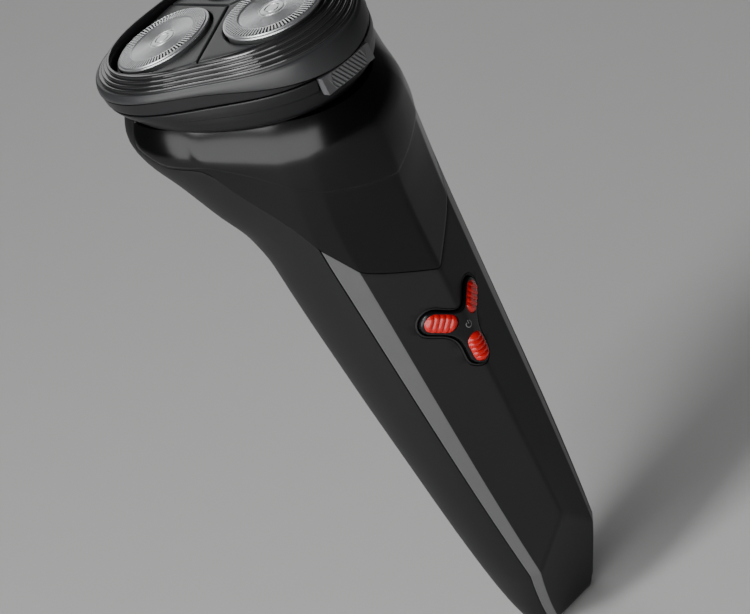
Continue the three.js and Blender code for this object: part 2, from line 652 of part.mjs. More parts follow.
add('rear_shell', rearShell, MATTE_REAR);
add('front_shell', frontShell, MATTE_BLACK);
add('gloss_panel', glossPanel, GLOSS_BLACK);
add('power_button', powerButton, GLOSS_BLACK);
add('button_gasket', buttonGasket, RUBBER);
buttonInserts.forEach((solid, i) => add(`button_insert_${i + 1}`, solid, RED));
add('power_switch', powerSwitch, DARK_PLASTIC);
add('circuit_board', circuitBoard, BOARD_GREEN);
add('charge_led', chargeLed, NYLON);
add('battery_cell', battery, SLEEVE);
add('battery_contact_low', contactStrip(BATTERY.low - 0.6), BRASS);
add('battery_contact_high', contactStrip(BATTERY.high + 0.6), BRASS);
add('socket_housing', socketHousing, DARK_PLASTIC);
add('socket_pin_left', socketPin(-PIN_SPACING / 2), BRASS);
add('socket_pin_right', socketPin(PIN_SPACING / 2), BRASS);
add('motor_cradle', motorCradle, DARK_PLASTIC);
add('motor_housing', motorHousing, STEEL);
add('motor_pinion', motorPinion, NYLON);
add('gear_deck', gearDeck, DARK_PLASTIC);
add('neck_seal', neckSeal, RUBBER);
add('neck_cover', neckCover, DARK_PLASTIC);
add('hair_chamber', hairChamber, MATTE_BLACK);
add('release_button', releaseButton, MATTE_BLACK);
add('release_spring', releaseSpring, STEEL);
add('hinge_pin', hingePin, STEEL);
add('head_frame', headFrame, SATIN_GREY);
add('cutter_frame', cutterFrame, DARK_PLASTIC);
add('lock_wheel', lockWheel, NYLON);
deckScrewPoints.forEach((point, i) => add(`deck_screw_${i + 1}`, screw(point, 127.5, 4.8), STEEL));
headPoints.forEach((point, i) => {
  const angle = HEAD_ANGLES[i];
  add(`drive_gear_${i + 1}`, driveGear(point), NYLON);
  add(`spindle_${i + 1}`, spindle(point), STEEL);
  add(`petal_${i + 1}`, petal(point, angle), SATIN_GREY);
  add(`guard_${i + 1}`, guard(point, angle), STEEL);
  add(`cutter_${i + 1}`, cutterBlades(point, angle), STEEL);
  add(`cutter_hub_${i + 1}`, cutterHub(point, angle), NYLON);
});

export default shaver;
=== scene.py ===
import json
import math

import bmesh
import bpy
import numpy as np
from mathutils import Matrix, Vector


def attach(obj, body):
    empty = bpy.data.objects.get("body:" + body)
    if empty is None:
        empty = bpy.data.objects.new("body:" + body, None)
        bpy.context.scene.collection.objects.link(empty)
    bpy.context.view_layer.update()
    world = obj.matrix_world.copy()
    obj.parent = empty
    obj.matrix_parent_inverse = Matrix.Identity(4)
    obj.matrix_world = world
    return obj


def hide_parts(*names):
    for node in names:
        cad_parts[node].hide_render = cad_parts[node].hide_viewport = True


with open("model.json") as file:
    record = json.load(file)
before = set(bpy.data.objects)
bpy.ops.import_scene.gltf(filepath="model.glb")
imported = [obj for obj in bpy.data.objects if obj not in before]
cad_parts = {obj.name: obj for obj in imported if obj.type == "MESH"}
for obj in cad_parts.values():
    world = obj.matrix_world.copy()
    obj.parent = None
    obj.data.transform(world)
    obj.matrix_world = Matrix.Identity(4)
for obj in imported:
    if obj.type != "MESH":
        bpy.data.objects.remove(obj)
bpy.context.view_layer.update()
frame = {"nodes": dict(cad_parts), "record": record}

# ------------------------------------------------------------------ sizes, in millimetres
MM = 0.001
SHIFT_Y = 2.0                             # the head's axis lies this far behind y = 0
WALL = 2.0
SEAM = 0.25

RIDGE_Y = -28.2                           # the keel's ridge, and its outer edges below
KEEL_FOOT_Y, KEEL_RISE = -24.2, 0.026
FACET_TOP_Z, FACET_SLOPE = 30.4, 0.412    # the slanted facet at the foot
SIDE_PULL = 0.35
NECK_RADIUS, NECK_LOBE = 28.2, 3.4        # the rounded triangle that the neck grows into
TILT_START, SEAT_Z, SEAT_TILT = 108.0, 146.0, 0.2
SHOULDER_DROP, SHOULDER_HEIGHT = 3.0, 9.0
FOOT_RADIUS = 2.4
COLLAR_STEP, COLLAR_BULGE = 0.54, 0.4

GUARD_RADIUS = 10.7
GUARD_PITCH = 14.9
GUARD_PLANE = 158.9
GUARD_SHEET = 0.1
SLOTS, SLOT_STEPS, OPEN_STEPS = 80, 5, 3  # each slot is open for three of its five steps
CAP_RINGS, CAP_RADIUS = 54, 6.95
PETAL_EDGE, PETAL_LOBE, PETAL_FLAT = 23.3, 2.6, 0.4
PETAL_SPLIT, PETAL_GAP = 0.22, 0.32
PETAL_TILT = math.radians(4.3)
HEAD_ANGLES = [math.radians(a) for a in (270, 30, 150)]
HINGE_Y, HINGE_Z = 25.6, 154.0
KNUCKLE_RADIUS, HINGE_CLEAR_RADIUS = 1.9, 2.25
RELEASE_Z, RELEASE_HALF, RELEASE_RISE = 146.4, 6.6, 1.9
RELEASE_FRONT_Y, RELEASE_BEND = -31.35, 62.0
GRIP_PITCH, GRIP_SLANT, GRIP_DEPTH = 0.95, 0.62, 0.26

BUTTON_Z, BUTTON_PROUD = 82.5, 0.7
HOLE_GROW, SEAL_OUTER_GROW, SEAL_INNER_GROW = 0.8, 0.68, 0.28
LOBE_REACH, LOBE_RADIUS, LOBE_WAIST = 7.2, 2.6, 2.9
LOBE_ANGLES = [math.radians(a) for a in (35, 145, 270)]
INSERT_REACH, INSERT_HALF_LENGTH, INSERT_HALF_WIDTH = 5.8, 3.2, 1.75
POCKET_HALF_WIDTH, POCKET_HALF_LENGTH = 2.0, 3.5
RIDGE_PITCH, RIDGE_HEIGHT = 1.15, 0.17
SOCKET = {"y": -11.2, "width": 8.2, "depth": 4.8}


# ------------------------------------------------------------------ curves
def curve(*knots):
    """A smooth curve through (x, value) knots that never overshoots them."""
    x = np.array([k[0] for k in knots], float)
    y = np.array([k[1] for k in knots], float)
    h = np.diff(x)
    d = np.diff(y) / h
    m = np.zeros_like(y)
    m[0], m[-1] = d[0], d[-1]
    for i in range(1, len(x) - 1):
        if d[i - 1] * d[i] > 0:
            a = 2 * h[i] + h[i - 1]
            b = h[i] + 2 * h[i - 1]
            m[i] = (a + b) / (a / d[i - 1] + b / d[i])

    def value(at):
        at = np.clip(np.asarray(at, float), x[0], x[-1])
        i = np.clip(np.searchsorted(x, at, side="right") - 1, 0, len(x) - 2)
        t = (at - x[i]) / h[i]
        return ((1 + 2 * t) * (1 - t) ** 2 * y[i] + t * (1 - t) ** 2 * h[i] * m[i]
                + t * t * (3 - 2 * t) * y[i + 1] + t * t * (t - 1) * h[i] * m[i + 1])

    return value


def smoothstep(x, low, high):
    """Rises from 0 at low to 1 at high, level at both ends."""
    t = np.clip((np.asarray(x, float) - low) / (high - low), 0, 1)
    return t * t * (3 - 2 * t)


# ------------------------------------------------------------------ the handle's skin
FACET_S, CHAMFER_S, WIDEST_S, BACK_S = 2, 3, 7, 13
CORNER_REACH = {FACET_S: 0.08, CHAMFER_S: 0.09}
RIDGE_REACH = 0.14
HALF_WIDTH = curve((0, 9.2), (10, 12), (25, 14.4), (45, 16.3), (75, 18.3), (105, 19.7), (150, 20))
WIDEST_Y = curve((0, -12.5), (15, -13), (45, -12), (75, -9), (105, -6), (150, 0))
BACK_Y = curve((0, -6), (6, -4.4), (15, -2.2), (25, -0.6), (45, 2.9), (75, 7.7), (105, 12.1),
               (150, 19.9))
FACET_HALF = curve((0, 5.4), (9, 7.5), (19, 8.9), (105, 13.6), (150, 16))
CHAMFER = curve((0, 1.4), (19, 1.75), (105, 3.4), (150, 4))
# How far the section has grown into the head's outline, at the front and at the back.
FRONT_FLARE = curve((96, 0), (106, 0.003), (114, 0.083), (122, 0.304), (130, 0.562),
                    (137, 0.767), (142, 0.902), (146, 1))
BACK_FLARE = curve((96, 0), (106, 0), (114, 0.076), (122, 0.335), (130, 0.6), (137, 0.879),
                   (142, 0.99), (146, 1))
HEAD_PHI = curve(*zip(range(14), (0, 13, 26, 38, 52, 64, 77, 90, 105, 120, 135, 150, 165, 180)))


def raw_outline(level, s):
    """A point of the right half of the handle's section: s runs from the ridge (0) by the
    facet's edge (2) and the chamfer's edge (3) to the widest point (7) and the back (13)."""
    a = FACET_HALF(level)
    slant = RIDGE_Y + FACET_SLOPE * np.maximum(0, FACET_TOP_Z - level)
    keel = KEEL_FOOT_Y + KEEL_RISE * level
    facet_y = np.maximum(keel, slant)
    chamfer = CHAMFER(level)
    wide, wide_y, back = HALF_WIDTH(level), WIDEST_Y(level), BACK_Y(level)
    edge_x, edge_y = a + chamfer, facet_y + chamfer
    u = np.clip(s / FACET_S, 0, 1)
    v = np.clip(s - FACET_S, 0, 1)
    t = np.clip((s - CHAMFER_S) / (WIDEST_S - CHAMFER_S), 0, 1)
    turn = np.clip((s - WIDEST_S) / (BACK_S - WIDEST_S), 0, 1) * np.pi / 2
    control_y = edge_y + SIDE_PULL * (wide_y - edge_y)
    parts = [s <= FACET_S, s <= CHAMFER_S, s <= WIDEST_S]
    x = np.select(
        parts,
        [u * a, a + chamfer * v,
         (1 - t) ** 2 * edge_x + 2 * t * (1 - t) * wide + t * t * wide], wide * np.cos(turn))
    y = np.select(
        parts,
        [np.maximum(RIDGE_Y + u * (keel - RIDGE_Y), slant), facet_y + chamfer * v,
         (1 - t) ** 2 * edge_y + 2 * t * (1 - t) * control_y + t * t * wide_y],
        wide_y + (back - wide_y) * np.sin(turn))
    return x, y


def soft_outline(level, s):
    """The same section with its three corners rounded."""
    x, y = raw_outline(level, s)
    for corner, reach in CORNER_REACH.items():
        x0, y0 = raw_outline(level, np.full_like(s, corner - reach))
        x1, y1 = raw_outline(level, np.full_like(s, float(corner)))
        x2, y2 = raw_outline(level, np.full_like(s, corner + reach))
        t = np.clip((s - corner + reach) / (2 * reach), 0, 1)
        near = np.abs(s - corner) < reach
        x = np.where(near, (1 - t) ** 2 * x0 + 2 * t * (1 - t) * x1 + t * t * x2, x)
        y = np.where(near, (1 - t) ** 2 * y0 + 2 * t * (1 - t) * y1 + t * t * y2, y)
    x1, y1 = raw_outline(level, np.full_like(s, RIDGE_REACH))
    _, y0 = raw_outline(level, np.zeros_like(s))
    t = np.clip((s + RIDGE_REACH) / (2 * RIDGE_REACH), 0, 1)
    near = s < RIDGE_REACH
    x = np.where(near, (t * t - (1 - t) ** 2) * x1, x)
    y = np.where(near, ((1 - t) ** 2 + t * t) * y1 + 2 * t * (1 - t) * y0, y)
    return x, y


def section(level, s):
    """The section's x and y with the neck's growth into the head's outline; s may be negative."""
    level, s = np.broadcast_arrays(np.asarray(level, float), np.asarray(s, float))
    s = (s + BACK_S) % (2 * BACK_S) - BACK_S
    side = np.where(s < 0, -1.0, 1.0)
    x, y = soft_outline(level, np.abs(s))
    phi = np.radians(HEAD_PHI(np.abs(s)))
    r = NECK_RADIUS + NECK_LOBE * np.cos(3 * phi)
    back = smoothstep(np.abs(s), CHAMFER_S, WIDEST_S + 2)
    b = FRONT_FLARE(level) * (1 - back) + BACK_FLARE(level) * back
    return side * (x + b * (r * np.sin(phi) - x)), y + b * (-r * np.cos(phi) - y)


def skin(level, s, offset=0.0, reach=0.03):
    """Points of the handle's outer skin, moved inward by offset; reach smooths the normals."""
    level, s = np.broadcast_arrays(np.asarray(level, float), np.asarray(s, float))
    x, y = section(level, s)
    x0, y0 = section(level, s - reach)
    x1, y1 = section(level, s + reach)
    length = np.hypot(x1 - x0, y1 - y0)
    near_top = np.clip((level - SEAT_Z + SHOULDER_HEIGHT) / SHOULDER_HEIGHT, 0, 1)
    shoulder = SHOULDER_DROP * near_top ** 2
    low = np.clip(FOOT_RADIUS - level, 0, FOOT_RADIUS)
    foot = FOOT_RADIUS - np.sqrt(FOOT_RADIUS ** 2 - low ** 2)
    inward = offset + shoulder + foot
    x = x - inward * (y1 - y0) / length
    y = y + inward * (x1 - x0) / length
    z = level + SEAT_TILT * smoothstep(level, TILT_START, SEAT_Z) * y
    return np.stack([x, y, z], axis=-1)


def bisect(test, low, high, steps=40):
    """Where test, which rises, crosses zero."""
    low, high = np.broadcast_arrays(np.asarray(low, float), np.asarray(high, float))
    low, high = low.copy(), high.copy()
    for _ in range(steps):
        middle = (low + high) / 2
        above = test(middle) > 0
        high = np.where(above, middle, high)
        low = np.where(above, low, middle)
    return (low + high) / 2


# The gloss panel's lower edge and the collar's crease, as heights seen from the side.
PANEL_LINE = curve((-60, 63.2), (-28.2, 96.9), (-25, 100.3), (-22.2, 103.8), (-19.9, 108.7),
                   (-18, 113), (-16, 117.4), (-13, 122), (-10, 125.9), (-6.8, 131.2),
                   (-5, 135.8), (-3, 137.2), (0, 138), (3.3, 138.8), (6.5, 140.8), (10.2, 143.2))
COLLAR_LINE = curve((-34, 119.6), (-28.5, 121.5), (-25.1, 124.1), (-21.5, 127.1), (-17.9, 129.9),
                    (-10, 134.8), (-5, 137.4), (0, 138.2), (10.2, 139))
SEAM_Y, SEAM_Z = 10.2, 143.2


def line_level(line, s):
    """The level at which the skin meets a side-view line, for each s."""
    s = np.asarray(s, float)

    def test(level):
        p = skin(level, s)
        return p[..., 2] - line(p[..., 1])

    return bisect(test, np.full_like(s, 60.0), np.full_like(s, 146.0))


def seam_s(level):
    """Where the skin passes behind the gloss panel, at each level."""
    level = np.asarray(level, float)
    return bisect(lambda s: skin(level, s)[..., 1] - SEAM_Y,
                  np.full_like(level, 6.0), np.full_like(level, 12.5))


def find_corner():
    """The level and the s at which the gloss panel's lower edge meets its rear seam."""
    level = SEAM_Z - 2.2
    for _ in range(12):
        level += SEAM_Z - float(skin(level, seam_s(level))[2])
    return level, float(seam_s(level))


corner_level, corner_s = find_corner()


# ------------------------------------------------------------------ mesh building
def grid_faces(rows, cols, close_rows=False, close_cols=False, start=0):
    """Quads over a grid of points, which may join up along either way."""
    faces = []
    for i in range(rows if close_rows else rows - 1):
        for j in range(cols if close_cols else cols - 1):
            i2, j2 = (i + 1) % rows, (j + 1) % cols
            faces.append((start + i * cols + j, start + i * cols + j2,
                          start + i2 * cols + j2, start + i2 * cols + j))
    return faces


def make(name, points, faces, marks=None, materials=()):
    """An object from points in millimetres; marks gives each face its material number."""
    points = np.asarray(points, float).reshape(-1, 3)
    mesh = bpy.data.meshes.new(name)
    scaled = (points + (0, SHIFT_Y, 0)) * MM
    mesh.from_pydata(scaled.tolist(), [], faces)
    for material in materials:
        mesh.materials.append(material)
    if marks is not None:
        mesh.polygons.foreach_set("material_index", list(marks))
    obj = bpy.data.objects.new(name, mesh)
    bpy.context.scene.collection.objects.link(obj)
    weld(obj)
    return obj


def weld(obj, distance=2e-6, outward=False):
    """Joins points that coincide, and turns the faces outward if asked."""
    bm = bmesh.new()
    bm.from_mesh(obj.data)
    bmesh.ops.remove_doubles(bm, verts=bm.verts, dist=distance)
    bmesh.ops.dissolve_degenerate(bm, edges=bm.edges, dist=1e-7)
    if outward:
        bmesh.ops.recalc_face_normals(bm, faces=bm.faces)
    bm.to_mesh(obj.data)
    bm.free()
    return obj


def bake(obj):
    """Applies an object's modifiers."""
    bpy.context.view_layer.update()
    graph = bpy.context.evaluated_depsgraph_get()
    mesh = bpy.data.meshes.new_from_object(obj.evaluated_get(graph))
    old = obj.data
    obj.modifiers.clear()
    obj.data = mesh
    mesh.name = obj.name
    bpy.data.meshes.remove(old)
    return obj


def shell(name, levels, s, lift=0.0, marks=None, materials=(), floor=True):
    """A shell between the skin and WALL inside it, closed below by a floor if it has one."""
    rows, cols = levels.shape
    outer = skin(levels, s, -np.asarray(lift))
    inner = skin(np.maximum(levels, WALL) if floor else levels, s, WALL, 0.6)
    size = rows * cols
    faces = grid_faces(rows, cols)
    marks = list(marks) if marks is not None else [0] * len(faces)
    faces += [tuple(size + v for v in face[::-1]) for face in faces]
    marks += marks
    low, high = list(range(cols)), list(range(size - cols, size))
    left, right = list(range(0, size, cols)), list(range(cols - 1, size, cols))
    edges = [high, left, right] if floor else [low, high, left, right]
    for line in edges:
        faces += [(a, b, size + b, size + a) for a, b in zip(line, line[1:])]
    if floor:
        faces += [tuple(low), tuple(size + v for v in low),
                  (low[0], low[-1], size + low[-1], size + low[0])]
    marks += [0] * (len(faces) - len(marks))
    points = np.concatenate([outer.reshape(-1, 3), inner.reshape(-1, 3)])
    obj = make(name, points, faces, marks, materials)
    return weld(obj, outward=True)


def thicken(obj, thickness):
    """Gives a sheet a thickness, behind its faces."""
    m = obj.modifiers.new("wall", "SOLIDIFY")
    m.thickness = thickness * MM
    m.offset = -1
    m.use_even_offset = True
    m.thickness_clamp = 0.0
    return bake(obj)


def soften(obj, width, angle=50, segments=2):
    """Rounds every edge sharper than the angle."""
    m = obj.modifiers.new("edge", "BEVEL")
    m.width = width * MM
    m.segments = segments
    m.limit_method = "ANGLE"
    m.angle_limit = math.radians(angle)
    m.use_clamp_overlap = True
    return bake(obj)


def combine(obj, other, operation):
    """A boolean with another closed object, which is used up."""
    m = obj.modifiers.new("tool", "BOOLEAN")
    m.operation = operation
    m.solver = "MANIFOLD"
    m.object = other
    bake(obj)
    bpy.data.objects.remove(other)
    return obj


def cut(obj, *others):
    """Takes other closed objects away from one."""
    for other in others:
        combine(obj, other, "DIFFERENCE")
    return obj


def smooth(obj, angle=32):
    """Shades smooth, except across edges sharper than the angle."""
    obj.data.polygons.foreach_set("use_smooth", [True] * len(obj.data.polygons))
    obj.data.set_sharp_from_angle(angle=math.radians(angle))
    return obj


def loft(name, rings):
    """A closed solid through rings of equal length, lowest first."""
    rings = np.asarray(rings, float)
    rows, cols = rings.shape[:2]
    faces = grid_faces(rows, cols, close_cols=True)
    faces.append(tuple(range(cols))[::-1])
    faces.append(tuple(range((rows - 1) * cols, rows * cols)))
    return make(name, rings, faces)


def tube(name, profile_rings, marks=None, materials=()):
    """A closed ring-shaped solid: the profile's rings join back to the first."""
    rings = np.asarray(profile_rings, float)
    rows, cols = rings.shape[:2]
    faces = grid_faces(rows, cols, close_rows=True, close_cols=True)
    obj = make(name, rings, faces, marks, materials)
    return weld(obj, outward=True)


def prism(name, outline, near, far):
    """A front-view outline of (x, z) points, from y = near to y = far."""
    n = len(outline)
    points = [(x, near, z) for x, z in outline] + [(x, far, z) for x, z in outline]
    faces = grid_faces(2, n, close_cols=True)
    faces += [tuple(range(n))[::-1], tuple(range(n, 2 * n))]
    return weld(make(name, points, faces), outward=True)


def post(name, radius, low, high, x=0.0, y=0.0, sides=48):
    """An upright cylinder."""
    t = np.arange(sides) * 2 * np.pi / sides
    ring = np.stack([x + radius * np.cos(t), y + radius * np.sin(t), 0 * t], axis=-1)
    return loft(name, [ring + (0, 0, low), ring + (0, 0, high)])


def bar(name, radius, low, high, y, z, sides=32):
    """A cylinder along x."""
    t = np.arange(sides) * 2 * np.pi / sides
    ring = np.stack([0 * t, y + radius * np.cos(t), z + radius * np.sin(t)], axis=-1)
    return loft(name, [ring + (low, 0, 0), ring + (high, 0, 0)])


def block(name, size, centre):
    """A box."""
    half = np.array(size) / 2
    corners = [(-1, -1), (1, -1), (1, 1), (-1, 1)]
    ring = np.array([(x * half[0], y * half[1], 0) for x, y in corners])
    low = ring + centre - np.array([0, 0, half[2]])
    return loft(name, [low, low + (0, 0, size[2])])


# ------------------------------------------------------------------ materials
CLOUD_SCALE = 70       # the broad variation of tone and gloss, about 14 mm across


def socket_mix(nodes, links, low, high, factor):
    """A colour between two others."""
    mix = nodes.new("ShaderNodeMix")
    mix.data_type = "RGBA"
    mix.inputs[6].default_value = low
    mix.inputs[7].default_value = high
    links.new(factor, mix.inputs[0])
    return mix.outputs[2]


def finish(name, colour, roughness, metallic=0.0, grain=None, tone=0.12, rough_spread=0.06,
           coat=0.0, ior=1.5, glow=0.0, subsurface=0.0):
    """A procedural surface: colour and roughness vary gently, and grain is (size, depth) in mm."""
    mat = bpy.data.materials.new(name)
    mat.use_nodes = True
    nodes, links = mat.node_tree.nodes, mat.node_tree.links
    shader = nodes["Principled BSDF"]
    shader.inputs["Metallic"].default_value = metallic
    shader.inputs["IOR"].default_value = ior
    shader.inputs["Coat Weight"].default_value = coat
    shader.inputs["Coat Roughness"].default_value = 0.04
    shader.inputs["Subsurface Weight"].default_value = subsurface
    shader.inputs["Subsurface Radius"].default_value = (0.0015, 0.0004, 0.0004)
    place = nodes.new("ShaderNodeTexCoord")
    cloud = nodes.new("ShaderNodeTexNoise")
    cloud.inputs["Scale"].default_value = CLOUD_SCALE
    cloud.inputs["Detail"].default_value = 4
    links.new(place.outputs["Object"], cloud.inputs["Vector"])
    dark = tuple(c * (1 - tone) for c in colour) + (1,)
    pale = tuple(min(1, c * (1 + tone)) for c in colour) + (1,)
    tint = socket_mix(nodes, links, dark, pale, cloud.outputs["Fac"])
    links.new(tint, shader.inputs["Base Color"])
    span = nodes.new("ShaderNodeMapRange")
    span.inputs["To Min"].default_value = max(0.02, roughness - rough_spread)
    span.inputs["To Max"].default_value = min(1, roughness + rough_spread)
    links.new(cloud.outputs["Fac"], span.inputs["Value"])
    links.new(span.outputs["Result"], shader.inputs["Roughness"])
    # glow makes the surface emit its own colour, which is painted light.
    if glow:
        shader.inputs["Emission Color"].default_value = (*colour, 1)
        shader.inputs["Emission Strength"].default_value = glow
    if grain:
        size, depth = grain
        fine = nodes.new("ShaderNodeTexNoise")
        fine.inputs["Scale"].default_value = 1 / (size * MM)
        fine.inputs["Detail"].default_value = 2
        links.new(place.outputs["Object"], fine.inputs["Vector"])
        bump = nodes.new("ShaderNodeBump")
        bump.inputs["Distance"].default_value = depth * MM
        bump.inputs["Strength"].default_value = 1.0
        links.new(fine.outputs["Fac"], bump.inputs["Height"])
        links.new(bump.outputs["Normal"], shader.inputs["Normal"])
    return mat


MATTE = finish("matte_black", (0.011, 0.011, 0.0115), 0.46, ior=1.38, grain=(0.22, 0.018))
REAR = finish("matte_rear", (0.008, 0.008, 0.0085), 0.5, ior=1.36, grain=(0.28, 0.025))
# The chamfer strips are the front's own black plastic; their lighter grey base colour is a painted
# reflection of the bevel catching the light.
STRIP_PAINTED_SHEEN = finish("strip_painted_sheen", (0.1, 0.1, 0.102), 0.34, ior=1.5, grain=(0.2, 0.01))
GLOSS = finish("gloss_black", (0.002, 0.002, 0.0022), 0.19, ior=1.4, tone=0.05,
               rough_spread=0.02, grain=(2.4, 0.001))
BUTTON = finish("button_black", (0.004, 0.004, 0.0045), 0.22, ior=1.42, grain=(0.25, 0.005))
BOWL = finish("bowl_black", (0.005, 0.005, 0.006), 0.36, ior=1.4, grain=(0.25, 0.01))
SKIRT = finish("skirt_black", (0.008, 0.008, 0.0092), 0.36, ior=1.4, grain=(0.25, 0.01))
FRAME = finish("satin_grey", (0.028, 0.0285, 0.03), 0.38, grain=(0.2, 0.008))
RIB = finish("rib_grey", (0.02, 0.02, 0.021), 0.15, coat=0.4, grain=(0.4, 0.002))
PETAL = finish("petal_grey", (0.03, 0.031, 0.0325), 0.42, grain=(0.2, 0.01))
STEEL = finish("guard_steel", (0.78, 0.79, 0.8), 0.4, metallic=1.0, grain=(0.12, 0.004),
               tone=0.05)
GRIP = finish("grip_grey", (0.09, 0.09, 0.094), 0.3, coat=0.2, grain=(0.3, 0.006))
# The cutters' steel is given a base colour far darker than bare steel: painted shade, so the
# guards' slots read as dark gaps.
BLADES_PAINTED_SHADE = finish("blade_steel_painted_shade", (0.16, 0.162, 0.166), 0.32, metallic=1.0, grain=(0.4, 0.004))
PLATED = finish("plated_steel", (0.6, 0.6, 0.61), 0.3, metallic=1.0, grain=(0.3, 0.004), tone=0.1)
# The inserts' glow is painted light: a faint red emission that makes them brighter than the lamps
# alone light them.
RED = finish("red_insert", (0.5, 0.004, 0.003), 0.25, coat=0.15, subsurface=0.1, glow=0.09,
             grain=(0.5, 0.004))
RUBBER = finish("rubber", (0.006, 0.006, 0.006), 0.6, grain=(0.3, 0.01))
DARK = finish("dark_plastic", (0.03, 0.03, 0.032), 0.42, grain=(0.25, 0.02))
NYLON = finish("nylon", (0.72, 0.7, 0.63), 0.42, subsurface=0.15, grain=(0.4, 0.01))
BRASS = finish("brass", (0.72, 0.48, 0.18), 0.28, metallic=1.0, grain=(0.3, 0.004))
BOARD = finish("board", (0.01, 0.12, 0.04), 0.35, coat=0.3, grain=(0.6, 0.01))
SLEEVE = finish("sleeve", (0.03, 0.12, 0.42), 0.25, coat=0.2, grain=(0.8, 0.01))
SYMBOL = finish("symbol_grey", (0.16, 0.16, 0.17), 0.4, grain=(0.2, 0.003))
FLOOR = finish("floor", (0.56, 0.56, 0.555), 0.7, grain=(1.5, 0.02), tone=0.02)


def settle(obj, body, material, nodes=()):
    """Gives a finished piece its material, its body and the nodes it stands for."""
    if material:
        obj.data.materials.clear()
        obj.data.materials.append(material)
    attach(obj, body)
    if nodes:
        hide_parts(*nodes)
    return obj


# ------------------------------------------------------------------ handle shells
def mirrored(values):
    """The values with their negatives before them."""
    values = sorted(values)
    return np.array([-v for v in values[::-1] if v > 0] + values)


def span(low, high, step):
    """Even values from low to high, about a step apart."""
    return list(np.linspace(low, high, max(2, round((high - low) / step) + 1)))


RIDGE_COLS = [0, 0.05, 0.1, 0.15, 0.3, 0.55, 0.85, 1.15, 1.45, 1.7, 1.85]
EDGE_COLS = [1.91, 1.94, 1.97, 2.0, 2.03, 2.06, 2.09, 2.25, 2.5, 2.75, 2.88, 2.92]
FOOT_LEVELS = FOOT_RADIUS * (1 - np.cos(np.linspace(0, np.pi / 2, 7)))


def crease_level(s):
    """Where the slanted facet at the foot meets the keel."""
    u = np.clip(np.abs(s) / FACET_S, 0, 1)
    return (FACET_SLOPE * FACET_TOP_Z - (KEEL_FOOT_Y - RIDGE_Y) * u) / (FACET_SLOPE + KEEL_RISE * u)


def front_shell():
    """The keeled front of the handle, with a chamfer strip along each side whose lighter grey is a
    painted reflection.
    """
    s = mirrored(RIDGE_COLS + EDGE_COLS + [2.965])
    top = line_level(PANEL_LINE, s) - SEAM
    low = crease_level(s)
    rows = [np.full_like(s, z) for z in FOOT_LEVELS]
    rows += [FOOT_LEVELS[-1] + (low - FOOT_LEVELS[-1]) * t for t in np.linspace(0, 1, 16)[1:]]
    rows += [low + (top - low) * t for t in np.linspace(0, 1, 60)[1:]]
    levels = np.array(rows)
    middle = (s[:-1] + s[1:]) / 2
    # Faces past the facet's edge get the strip finish, whose lighter grey is a painted reflection.
    marks = np.tile((np.abs(middle) > FACET_S).astype(int), levels.shape[0] - 1)
    obj = shell("front_cover", levels, np.broadcast_to(s, levels.shape), marks=marks,
                materials=[MATTE, STRIP_PAINTED_SHEEN])
    cut(obj, prism("hole", lobes(HOLE_GROW), -36, -17))
    soften(obj, 0.18, angle=55)
    return smooth(obj, 40)


def lobes(grow, steps=14):
    """The power button's outline: three rounded arms with hollow waists, as (x, z) points."""
    radius, waist = LOBE_RADIUS + grow, LOBE_WAIST + grow
    points = []
    for i, angle in enumerate(LOBE_ANGLES):
        after = LOBE_ANGLES[(i + 1) % 3] + (2 * math.pi if i == 2 else 0)
        centre = np.array([math.cos(angle), math.sin(angle)]) * LOBE_REACH
        for k in range(steps + 1):
            t = angle + (k / steps - 0.5) * math.pi
            points.append(centre + radius * np.array([math.cos(t), math.sin(t)]))
        blend = (angle + after) / 2
        hollow = np.array([math.cos(blend), math.sin(blend)]) * waist
        nxt = np.array([math.cos(after), math.sin(after)]) * LOBE_REACH
        nxt = nxt + radius * np.array([math.cos(after - math.pi / 2),
                                       math.sin(after - math.pi / 2)])
        a, b = points[-1] + 0.45 * (hollow - points[-1]), nxt + 0.45 * (hollow - nxt)
        for k in range(9):
            t = k / 8
            points.append((1 - t) ** 2 * a + 2 * t * (1 - t) * hollow + t * t * b)
    return [(x, z + BUTTON_Z) for x, z in points]


def stadium(angle, half_width, half_length, steps=12):
    """The outline of one insert's pocket, as (x, z) points."""
    points = []
    for end in (1, -1):
        for k in range(steps + 1):
            t = (k / steps - 0.5) * math.pi
            u = end * (half_length - half_width + half_width * math.cos(t))
            v = end * half_width * math.sin(t)
            points.append(((INSERT_REACH + u) * math.cos(angle) - v * math.sin(angle),
                           (INSERT_REACH + u) * math.sin(angle) + v * math.cos(angle) + BUTTON_Z))
    return points


def rear_shell():
    """The back and sides of the handle, closed below, with the charging socket's hole."""
    gap = 0.05
    by_line = np.array([3.04, 3.08, 3.12, 3.2, 3.35] + span(3.6, corner_s, 0.28))
    by_seam = np.linspace(corner_level, SEAT_Z, 14)[1:]
    seam = seam_s(by_seam) + gap
    by_top = np.linspace(seam[-1], BACK_S, 18)[1:]
    s_top = np.concatenate([by_line, seam, by_top])
    z_top = np.concatenate([line_level(PANEL_LINE, by_line) - SEAM, by_seam,
                            np.full_like(by_top, SEAT_Z)])
    spread = np.linspace(corner_s, BACK_S, len(seam) + len(by_top) + 1)[1:]
    s_low = np.concatenate([by_line, spread])
    s_low = np.concatenate([s_low, 2 * BACK_S - s_low[-2::-1]])
    s_top = np.concatenate([s_top, 2 * BACK_S - s_top[-2::-1]])
    z_top = np.concatenate([z_top, z_top[-2::-1]])
    rows = [np.full_like(z_top, z) for z in FOOT_LEVELS]
    rows += [FOOT_LEVELS[-1] + (z_top - FOOT_LEVELS[-1]) * t for t in np.linspace(0, 1, 100)[1:]]
    levels = np.array(rows)
    drift = smoothstep(levels / SEAT_Z, 0.2, 0.95)
    ending = drift[-1]
    s = s_low + (s_top - s_low) * drift / ending
    obj = shell("rear_cover", levels, s)
    cut(obj, block("hole", (SOCKET["width"], SOCKET["depth"], 12), (0, SOCKET["y"], 0)))
    soften(obj, 0.18, angle=60)
    return smooth(obj, 40)


